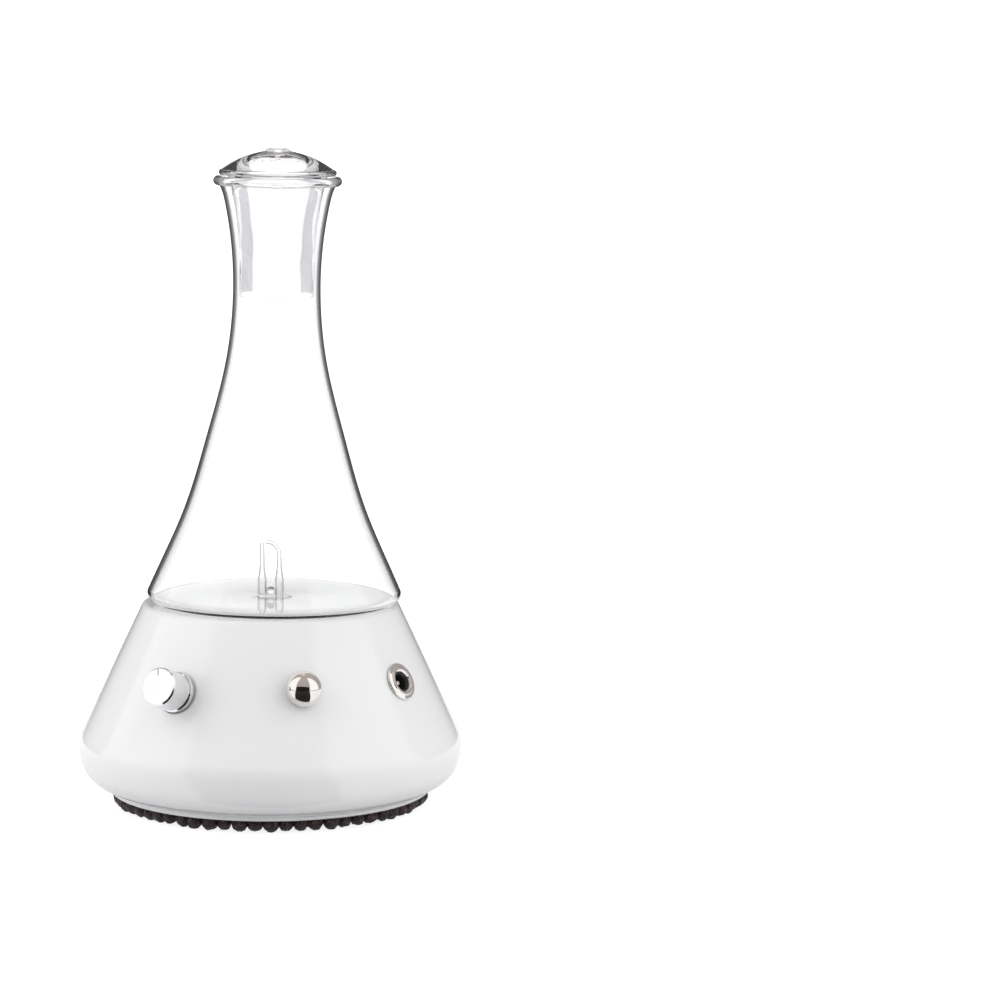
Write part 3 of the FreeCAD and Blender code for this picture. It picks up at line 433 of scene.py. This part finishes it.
def plain(name, dark, light, low=0.3, high=0.5, metallic=0.0, scale=250.0, depth=0.00003):
    """A working finish: uneven colour and gloss, with a fine surface grain."""
    shader = Shader(name, Metallic=metallic)
    shader.colour(shader.noise(scale), [(0.3, dark), (0.7, light)])
    shader.roughness(shader.noise(scale * 2.0), low, high)
    shader.bump(shader.noise(scale * 8.0), depth, 0.4)
    return shader


# ------------------------------------------------------------------ glass pieces

def flask_profile(offset):
    """Side of the flask from the foot of its straight part to the rim bead, moved in by the offset."""
    run = (SHOULDER[0] - FLASK_CORNER[0]) / (SHOULDER[1] - FLASK_Z)
    foot = (SHOULDER[0] - 6.6 * run, SHOULDER[1] - 6.6)
    side = spline([foot, SHOULDER, (37.3, 121.6), (28.3, 151.6), (20.8, 181.6), (17.9, 211.6),
                   (18.9, 231.6), (21.3, 246.6), (22.8, 252.2), (23.7, 254.3)], 12)
    return shifted(side, offset) if offset else side


def corner_arc(radius, offset):
    """Rounded corner between the flask's floor and its straight foot."""
    run = FLASK_CORNER[0] - SHOULDER[0]
    rise = SHOULDER[1] - FLASK_Z
    lean = math.atan2(rise, run)
    sharp = FLASK_CORNER[0] - offset / math.tan(lean / 2.0)
    centre = (sharp - radius / math.tan(lean / 2.0), FLASK_Z + offset + radius)
    return arc(centre, radius, -90.0, 90.0 - math.degrees(lean), 14)


def flask_outline():
    """One closed outline: stem, floor, outside, rolled rim, inside, floor, stem bore."""
    bore = STEM_RADIUS - STEM_WALL
    outline = [(STEM_RADIUS, FLASK_Z - 0.05), (STEM_RADIUS, FLASK_Z)]
    outline += corner_arc(CORNER_ROUND, 0.0) + flask_profile(0.0)
    outline += arc((RIM_RADIUS - RIM_BEAD, RIM_Z), RIM_BEAD, -104.0, 218.0, 36)
    outline += flask_profile(GLASS_WALL)[::-1]
    outline += corner_arc(CORNER_ROUND - 0.8 * GLASS_WALL, GLASS_WALL)[::-1]
    outline += [(0.0, FLASK_Z + GLASS_WALL), (0.0, FLASK_Z)]
    outline += [(bore, FLASK_Z), (bore, FLASK_Z - 0.05), (bore, STEM_BOTTOM)]
    outline += [(STEM_RADIUS, STEM_BOTTOM)]
    return outline


def lean_body(piece):
    """Everything above the stem stands a little off its axis and out of plumb, as hand-blown."""
    pivot = Matrix.Translation((0.0, 0.0, FLASK_Z * MM))
    tilt = Matrix.Rotation(math.radians(BODY_LEAN), 4, "Y")
    lean = Matrix.Translation((BODY_OFFSET * MM, 0.0, BODY_LIFT * MM)) @ pivot @ tilt @ pivot.inverted()
    for vert in piece.data.vertices:
        if vert.co.z > (FLASK_Z - 0.01) * MM:
            vert.co = lean @ vert.co


def clear(piece, shader):
    """Glass lets the studio lights through to what stands behind it."""
    paint(piece, shader)
    piece.visible_shadow = False


def glass_flask(material):
    flask = lathe("flask", flask_outline(), "flask", "glass_flask", 256)
    lean_body(flask)
    clear(flask, material)


def stopper_outline():
    edge = FLANGE_THICKNESS / 2.0
    top = FLANGE_Z + FLANGE_THICKNESS
    skirt = spline([(15.2, STOPPER_BOTTOM + 0.5), (15.3, 218.0), (15.7, 231.0), (17.2, 244.0),
                    (19.2, 254.0), (20.4, FLANGE_Z)], 10)
    dome_foot = (FLANGE_RADIUS - edge, top)
    dome = spline([dome_foot, (20.0, 262.6), (15.2, 265.2), (10.6, 266.9), (5.4, 268.2)], 8)
    vault = spline([(VENT_RADIUS, 264.6), (10.4, 261.6), (12.9, 257.5), (12.6, 253.0), (11.2, 244.0),
                    (10.1, 231.0), (10.0, STOPPER_BOTTOM + 0.5)], 10)
    flange = arc((FLANGE_RADIUS - edge, FLANGE_Z + edge), edge, -90.0, 90.0, 12)
    outline = skirt + flange[:-1] + dome
    outline += arc((4.3, STOPPER_TOP - 0.5), 0.5, 0.0, 90.0, 4)
    outline += arc((VENT_RADIUS + 0.5, STOPPER_TOP - 0.5), 0.5, 90.0, 180.0, 4)
    outline += vault
    outline += arc((10.5, STOPPER_BOTTOM + 0.5), 0.5, 180.0, 270.0, 4)[1:]
    outline += arc((14.7, STOPPER_BOTTOM + 0.5), 0.5, 270.0, 360.0, 4)[:-1]
    return outline


def glass_stopper(material):
    stopper = lathe("stopper", stopper_outline(), "stopper", "glass_stopper", 256)
    lean_body(stopper)
    clear(stopper, material)


def tapered(bottom, bore_bottom, top):
    """Closed outline of a tube that narrows to a capillary, open at the top."""
    outside = rounded([(TUBE_RADIUS, bottom), (TUBE_RADIUS, TUBE_SHOULDER_Z, 3.0),
                       (CAPILLARY_RADIUS + 0.25, CAPILLARY_Z, 5.0), (CAPILLARY_RADIUS, top)])
    bore = rounded([(CAPILLARY_BORE, top), (CAPILLARY_BORE, CAPILLARY_Z, 4.0),
                    (TUBE_RADIUS - TUBE_WALL, TUBE_SHOULDER_Z, 2.0), (TUBE_RADIUS - TUBE_WALL, bore_bottom)])
    return outside, bore


def oil_feed_tube(material):
    floor = FLASK_Z + GLASS_WALL + BODY_LIFT + 0.08
    outside, bore = tapered(floor, floor + 0.8, NOZZLE_TOP)
    outline = [(0.0, floor)] + outside + bore + [(0.0, floor + 0.8)]
    place = Matrix.Translation((-TUBE_OFFSET * MM, 0.0, 0.0))
    clear(lathe("feed_tube", outline, "flask", "oil_feed_tube", 48, place), material)


def air_jet_tube(material):
    """The upright part is turned; the same ring of points is then swung through the bend."""
    floor = FLASK_Z + GLASS_WALL + BODY_LIFT + 0.08
    outside, bore = tapered(floor, floor, BEND_Z)
    segments = 48
    bends = 16
    bm = bmesh.new()
    rings = []
    for radius, height in outside:
        rings.append((radius, height, 0.0))
    for i in range(1, bends + 1):
        rings.append((CAPILLARY_RADIUS, BEND_Z, 90.0 * i / bends))
    for i in range(bends, 0, -1):
        rings.append((CAPILLARY_BORE, BEND_Z, 90.0 * i / bends))
    for radius, height in bore:
        rings.append((radius, height, 0.0))
    made = []
    pivot = Vector((TUBE_OFFSET - BEND_RADIUS, 0.0, BEND_Z))
    for radius, height, swing in rings:
        lean = Matrix.Rotation(-math.radians(swing), 3, "Y")
        ring = []
        for k in range(segments):
            angle = 2.0 * math.pi * k / segments
            spot = Vector((TUBE_OFFSET + radius * math.cos(angle), radius * math.sin(angle), height))
            ring.append(bm.verts.new((pivot + lean @ (spot - pivot)) * MM))
        made.append(ring)
    for low, high in zip(made, made[1:] + made[:1]):
        for k in range(segments):
            after = (k + 1) % segments
            bm.faces.new([low[k], low[after], high[after], high[k]])
    clear(new_object("jet_tube", bm, "flask", "air_jet_tube"), material)


def tube_bridge(material):
    """The drop of glass between the tubes, fuller where it meets each of them."""
    bm = bmesh.new()
    bmesh.ops.create_icosphere(bm, subdivisions=4, radius=1.0)
    for vert in bm.verts:
        x, y, z = vert.co
        pull = 1.0 + 0.22 * x * x
        vert.co = Vector((1.58 * x, 1.75 * y * pull, 1.75 * z * pull)) * MM
        vert.co.z += BRIDGE_Z * MM
    clear(new_object("bridge_drop", bm, "flask", "tube_bridge"), material)


# ------------------------------------------------------------------ base pieces

def lava_stones(material):
    """Small rough stones, each turned and dented its own way, glued side by side."""
    rng = random.Random(7)
    bm = bmesh.new()
    for i in range(STONE_COUNT):
        angle = 2.0 * math.pi * (i + rng.uniform(-0.08, 0.08)) / STONE_COUNT
        size = STONE_RADIUS * rng.uniform(0.92, 1.06)
        spread = STONE_CIRCLE + rng.uniform(-0.5, 0.1)
        centre = Vector((spread * math.sin(angle), -spread * math.cos(angle), STONE_Z))
        turned = Matrix.Rotation(rng.uniform(0.0, math.tau), 3, Vector((rng.random(), rng.random(), 1.0)))
        seed = Vector((rng.uniform(0.0, 90.0), rng.uniform(0.0, 90.0), i))
        made = bmesh.ops.create_icosphere(bm, subdivisions=4, radius=1.0)
        for vert in made["verts"]:
            way = vert.co.normalized()
            dent = noise.fractal(way * 1.3 + seed, 0.6, 2.1, 5)
            pit = noise.noise(way * 4.0 + seed)
            reach = size * (1.0 + 0.13 * dent - 0.12 * max(0.0, pit))
            spot = centre + turned @ (way * reach)
            spot.z = min(max(spot.z, 0.0), COVER_Z + 0.1)
            vert.co = spot * MM
    paint(new_object("lava_stones", bm, "base", "lava_beads"), material)


def touch_ball(material):
    start = math.degrees(math.asin((0.12 - BALL_STANDOFF) / BALL_RADIUS))
    outline = [(0.0, -12.0), (1.5, -12.0), (1.5, 0.12)]
    outline += arc((0.0, BALL_STANDOFF), BALL_RADIUS, start, 90.0, 48)[:-1]
    outline.append((0.0, BALL_STANDOFF + BALL_RADIUS))
    seat = wall_matrix(0.0, BALL_HEIGHT, CONE_NORMAL)
    paint(lathe("ball", outline, "base", "touch_ball", 128, seat), material)


def jack_bezel(material):
    outline = rounded([(JACK_BORE, -11.0), (5.9, -11.0, 0.3), (5.9, 0.1), (7.8, 0.1, 0.2), (7.8, 0.9, 0.5),
                       (6.2, 1.2, 0.2), (5.8, 1.6, 0.3), (4.9, 1.6, 0.3), (JACK_BORE, 1.0)])
    seat = wall_matrix(JACK_AZIMUTH, CONTROL_HEIGHT, CONE_NORMAL)
    paint(lathe("bezel", outline, "base", "jack_bezel", 128, seat), material)


# ------------------------------------------------------------------ studio

def compared(tree, operation, source, limit):
    made = tree.nodes.new("ShaderNodeMath")
    made.operation = operation
    made.inputs[1].default_value = limit
    tree.links.new(source, made.inputs[0])
    return made.outputs[0]


def ray_kinds(tree):
    """Sockets that are 1 for three kinds of ray.

    Direct views (also straight through glass), diffuse fill, and reflections that have
    passed through more than one glass wall.
    """
    path = tree.nodes.new("ShaderNodeLightPath")
    bounces = tree.nodes.new("ShaderNodeMath")
    tree.links.new(path.outputs["Glossy Depth"], bounces.inputs[0])
    tree.links.new(path.outputs["Diffuse Depth"], bounces.inputs[1])
    direct = compared(tree, "LESS_THAN", bounces.outputs[0], 0.5)
    fill = compared(tree, "GREATER_THAN", path.outputs["Diffuse Depth"], 0.5)
    deep = compared(tree, "GREATER_THAN", path.outputs["Transmission Depth"], 3.5)
    return direct, fill, deep


def mixed(tree, factor, first, second):
    mix = tree.nodes.new("ShaderNodeMixShader")
    tree.links.new(factor, mix.inputs["Fac"])
    tree.links.new(first.outputs[0], mix.inputs[1])
    tree.links.new(second.outputs[0], mix.inputs[2])
    return mix


def shade(tree, kind, colour, strength=None):
    made = tree.nodes.new("ShaderNode" + kind)
    made.inputs["Color"].default_value = (*colour, 1.0)
    if strength is not None:
        made.inputs["Strength"].default_value = strength
    return made


def facing(tree, place, direction, low, high):
    """0 to 1 as the place, seen from the origin, comes round towards the given direction."""
    heading = tree.nodes.new("ShaderNodeVectorMath")
    heading.operation = "NORMALIZE"
    tree.links.new(place, heading.inputs[0])
    dot = tree.nodes.new("ShaderNodeVectorMath")
    dot.operation = "DOT_PRODUCT"
    dot.inputs[1].default_value = direction
    tree.links.new(heading.outputs[0], dot.inputs[0])
    level = tree.nodes.new("ShaderNodeMapRange")
    level.inputs["From Min"].default_value = low
    level.inputs["From Max"].default_value = high
    tree.links.new(dot.outputs["Value"], level.inputs["Value"])
    return level.outputs[0]


def room(tree, kind, place, middle):
    """The room as polished surfaces see it; the middle colour is straight behind the object."""
    angle = math.radians(CAMERA_AZIMUTH)
    behind = facing(tree, place, (-math.sin(angle), math.cos(angle), 0.0), 0.78, 0.92)
    return mixed(tree, behind, shade(tree, kind, ROOM_SIDES, 1.0), shade(tree, kind, middle, 1.0))


def studio_world():
    """White behind the object; in reflections a dim warm room, lighter inside the glass; soft fill."""
    world = bpy.data.worlds.new("studio")
    bpy.context.scene.world = world
    world.use_nodes = True
    world.cycles.sampling_method = "NONE"
    tree = world.node_tree
    tree.nodes.clear()
    direct, fill, deep = ray_kinds(tree)
    white = shade(tree, "Background", (1.0, 1.0, 1.0), BACKDROP)
    place = tree.nodes.new("ShaderNodeTexCoord").outputs["Generated"]
    ceiling = shade(tree, "Background", CEILING, 1.0)
    inside = shade(tree, "Background", (1.0, 1.0, 1.0), INSIDE_SKY)
    sky = shade(tree, "Background", (1.0, 1.0, 1.0), SKY_FILL)
    overhead = facing(tree, place, (0.0, 0.0, 1.0), 0.45, 0.8)
    walls = mixed(tree, overhead, room(tree, "Background", place, ROOM_COLOUR), ceiling)
    reflected = mixed(tree, deep, walls, inside)
    output = tree.nodes.new("ShaderNodeOutputWorld")
    indirect = mixed(tree, fill, reflected, sky)
    tree.links.new(mixed(tree, direct, indirect, white).outputs[0], output.inputs["Surface"])


def front_card():
    """Black card in front of the object, on the floor and standing, seen only in reflections."""
    near = 0.084
    far = 1.3
    corners = []
    for reach, azimuth, height in ((near, -24.0, 0.0), (far, -52.0, 0.0), (far, -52.0, 0.46),
                                   (far, 31.0, 0.46), (far, 31.0, 0.0), (near, 26.0, 0.0)):
        angle = math.radians(CAMERA_AZIMUTH + azimuth)
        corners.append((reach * math.sin(angle), -reach * math.cos(angle), height + 0.001))
    mesh = bpy.data.meshes.new("front_card")
    mesh.from_pydata(corners, [], [(0, 1, 4, 5), (1, 2, 3, 4)])
    card = bpy.data.objects.new("front_card", mesh)
    bpy.context.scene.collection.objects.link(card)
    shader = Shader("card", Roughness=0.9)
    shader.colour(shader.noise(9.0), [(0.3, (0.006, 0.005, 0.005)), (0.7, (0.016, 0.011, 0.009))])
    mesh.materials.append(shader.material)
    card.visible_camera = False
    card.visible_diffuse = False
    card.visible_transmission = False
    card.visible_shadow = False


def studio_floor():
    """A pale floor that runs to the horizon, brighter with distance so that it meets the backdrop.

    In reflections it is a grey table that ends in the dark of the room.
    """
    bm = bmesh.new()
    bmesh.ops.create_grid(bm, x_segments=1, y_segments=1, size=FLOOR_SIZE)
    mesh = bpy.data.meshes.new("floor")
    bm.to_mesh(mesh)
    bm.free()
    floor = bpy.data.objects.new("floor", mesh)
    bpy.context.scene.collection.objects.link(floor)
    material = bpy.data.materials.new("floor")
    material.use_nodes = True
    material.cycles.emission_sampling = "NONE"
    tree = material.node_tree
    tree.nodes.clear()
    direct, fill, deep = ray_kinds(tree)
    place = tree.nodes.new("ShaderNodeTexCoord")
    reach = tree.nodes.new("ShaderNodeVectorMath")
    reach.operation = "LENGTH"
    tree.links.new(place.outputs["Object"], reach.inputs[0])
    level = tree.nodes.new("ShaderNodeMapRange")
    level.inputs["From Min"].default_value = GLOW_START
    level.inputs["From Max"].default_value = GLOW_END
    level.inputs["To Min"].default_value = FLOOR_GLOW
    level.inputs["To Max"].default_value = BACKDROP
    tree.links.new(reach.outputs["Value"], level.inputs["Value"])
    paper = shade(tree, "BsdfDiffuse", (0.30, 0.30, 0.30))
    glow = shade(tree, "Emission", (1.0, 1.0, 1.0), 1.0)
    tree.links.new(level.outputs[0], glow.inputs["Strength"])
    lit = tree.nodes.new("ShaderNodeAddShader")
    tree.links.new(paper.outputs[0], lit.inputs[0])
    tree.links.new(glow.outputs[0], lit.inputs[1])
    dim = shade(tree, "BsdfDiffuse", FLOOR_BOUNCE)
    sheen = tree.nodes.new("ShaderNodeAddShader")
    tree.links.new(dim.outputs[0], sheen.inputs[0])
    pale = shade(tree, "Emission", (1.0, 1.0, 1.0), FLOOR_SHEEN)
    tree.links.new(pale.outputs[0], sheen.inputs[1])
    table = mixed(tree, compared(tree, "GREATER_THAN", reach.outputs["Value"], TABLE_REACH), sheen,
                  room(tree, "Emission", place.outputs["Object"], ROOM_FLOOR))
    inside = shade(tree, "Emission", INSIDE_GLASS, 1.0)
    indirect = mixed(tree, fill, mixed(tree, deep, table, inside), dim)
    output = tree.nodes.new("ShaderNodeOutputMaterial")
    tree.links.new(mixed(tree, direct, indirect, lit).outputs[0], output.inputs["Surface"])
    mesh.materials.append(material)


def softbox(name, azimuth, width, radiance):
    """A large upright panel facing the object; the azimuth is counted from the camera's.

    The light itself gives the soft illumination, the glowing sheet is what polished
    surfaces reflect; neither shows in the picture or through the glass.
    """
    angle = math.radians(CAMERA_AZIMUTH + azimuth)
    spot = (BOX_DISTANCE * math.sin(angle), -BOX_DISTANCE * math.cos(angle), BOX_HEIGHT)
    place = Matrix.Translation(spot)
    place = place @ Matrix.Rotation(angle, 4, "Z") @ Matrix.Rotation(math.radians(90.0), 4, "X")
    light = bpy.data.lights.new(name, "AREA")
    light.shape = "RECTANGLE"
    light.size = width
    light.size_y = BOX_TALL
    light.energy = radiance * math.pi * width * BOX_TALL
    light.cycles.use_multiple_importance_sampling = False
    panel = bpy.data.objects.new(name, light)
    bpy.context.scene.collection.objects.link(panel)
    panel.matrix_world = place
    panel.visible_glossy = False
    mesh = bpy.data.meshes.new(name + "_sheet")
    half = width / 2.0
    foot = -BOX_TALL / 2.0
    top = 1.2 * BOX_TALL
    corners = [(-half, foot, 0.0), (half, foot, 0.0), (0.3 * half, top, 0.0), (-0.3 * half, top, 0.0)]
    mesh.from_pydata(corners, [], [(0, 1, 2, 3)])
    sheet = bpy.data.objects.new(name + "_sheet", mesh)
    bpy.context.scene.collection.objects.link(sheet)
    sheet.matrix_world = place
    material = bpy.data.materials.new(name + "_sheet")
    material.use_nodes = True
    material.cycles.emission_sampling = "NONE"
    tree = material.node_tree
    tree.nodes.clear()
    output = tree.nodes.new("ShaderNodeOutputMaterial")
    glow = shade(tree, "Emission", (1.0, 1.0, 1.0), PANEL_GLOW)
    tree.links.new(glow.outputs[0], output.inputs["Surface"])
    mesh.materials.append(material)
    sheet.visible_diffuse = False
    sheet.visible_shadow = False
    for piece in (panel, sheet):
        piece.visible_camera = False
        piece.visible_transmission = False


def studio_lights():
    softbox("left_box", -84.0, 1.8, LEFT_RADIANCE)
    softbox("right_box", 66.0, 1.7, RIGHT_RADIANCE)


def studio_camera():
    data = bpy.data.cameras.new("camera")
    data.lens = CAMERA_LENS
    data.sensor_width = 36.0
    camera = bpy.data.objects.new("camera", data)
    bpy.context.scene.collection.objects.link(camera)
    angle = math.radians(CAMERA_AZIMUTH)
    place = Vector((CAMERA_DISTANCE * math.sin(angle), -CAMERA_DISTANCE * math.cos(angle), CAMERA_HEIGHT))
    aim = Matrix.Rotation(angle, 4, "Z") @ Matrix.Rotation(math.radians(90.0 - CAMERA_PITCH), 4, "X")
    aim = aim @ Matrix.Rotation(-math.radians(CAMERA_YAW), 4, "Y")
    camera.matrix_world = Matrix.Translation(place) @ aim
    data.clip_end = 1000.0
    bpy.context.scene.camera = camera


# ------------------------------------------------------------------ assembly

def finish_nodes():
    """Working finishes for the CAD pieces, by the record's material slots."""
    chrome = polished("chrome", (0.86, 0.83, 0.80), 0.02)
    steel = plain("steel", (0.42, 0.42, 0.43), (0.55, 0.55, 0.56), 0.25, 0.4, 1.0)
    finishes = {
        "white_glaze": white_glaze(),
        "cover_white": cover_plastic(),
        "screw_steel": steel,
        "motor_steel": steel,
        "silicone": plain("silicone", (0.72, 0.72, 0.70), (0.80, 0.80, 0.78), 0.35, 0.5),
        "black_rubber": plain("rubber", (0.02, 0.02, 0.02), (0.04, 0.04, 0.04), 0.6, 0.8),
        "foam": plain("foam", (0.05, 0.05, 0.05), (0.12, 0.12, 0.12), 0.8, 0.95, 0.0, 900.0, 0.0004),
        "opal_plastic": plain("opal", (0.78, 0.79, 0.79), (0.84, 0.85, 0.85), 0.3, 0.45),
        "black_plastic": plain("black_plastic", (0.012, 0.012, 0.013), (0.03, 0.03, 0.032), 0.35, 0.5),
        "grey_plastic": plain("grey_plastic", (0.20, 0.21, 0.22), (0.28, 0.29, 0.30), 0.4, 0.55),
        "board_green": plain("board", (0.01, 0.10, 0.04), (0.02, 0.16, 0.06), 0.3, 0.4),
        "led_white": plain("led", (0.75, 0.70, 0.45), (0.85, 0.82, 0.62), 0.3, 0.4),
        "brass": plain("brass", (0.60, 0.42, 0.17), (0.72, 0.52, 0.24), 0.2, 0.35, 1.0),
        "copper": plain("copper", (0.60, 0.26, 0.13), (0.72, 0.34, 0.18), 0.3, 0.4, 1.0),
        "ferrite": plain("ferrite", (0.05, 0.05, 0.05), (0.09, 0.09, 0.09), 0.5, 0.7),
        "carbon": plain("carbon", (0.01, 0.01, 0.01), (0.03, 0.03, 0.03), 0.5, 0.7),
        "cap_sleeve": plain("sleeve", (0.01, 0.012, 0.03), (0.02, 0.025, 0.06), 0.2, 0.3),
        "header_white": plain("header", (0.68, 0.66, 0.60), (0.78, 0.76, 0.70), 0.4, 0.5),
        "wire_jacket": plain("wire", (0.30, 0.03, 0.03), (0.45, 0.05, 0.05), 0.35, 0.5),
        "knob_aluminium": turned_aluminium(),
        "chrome": chrome,
    }
    slots = {row["node"]: row["material_slot"] for row in frame["record"]["subparts"]}
    for name, piece in frame["nodes"].items():
        if slots[name] in finishes:
            paint_node(piece, finishes[slots[name]])


def paint_node(piece, shader):
    for slot in piece.material_slots:
        slot.material = shader.material


def main():
    finish_nodes()
    glass_flask(clear_glass("flask_glass", 45.0, 0.00001))
    glass_stopper(clear_glass("stopper_glass", 190.0, 0.00022))
    tubing = tube_glass()
    oil_feed_tube(tubing)
    air_jet_tube(tubing)
    tube_bridge(tubing)
    lava_stones(lava_stone())
    chrome = polished("chrome_bright", (0.86, 0.83, 0.80), 0.02)
    touch_ball(chrome)
    jack_bezel(chrome)
    studio_world()
    studio_floor()
    front_card()
    studio_lights()
    studio_camera()
    bpy.context.scene.view_settings.view_transform = "Standard"


main()
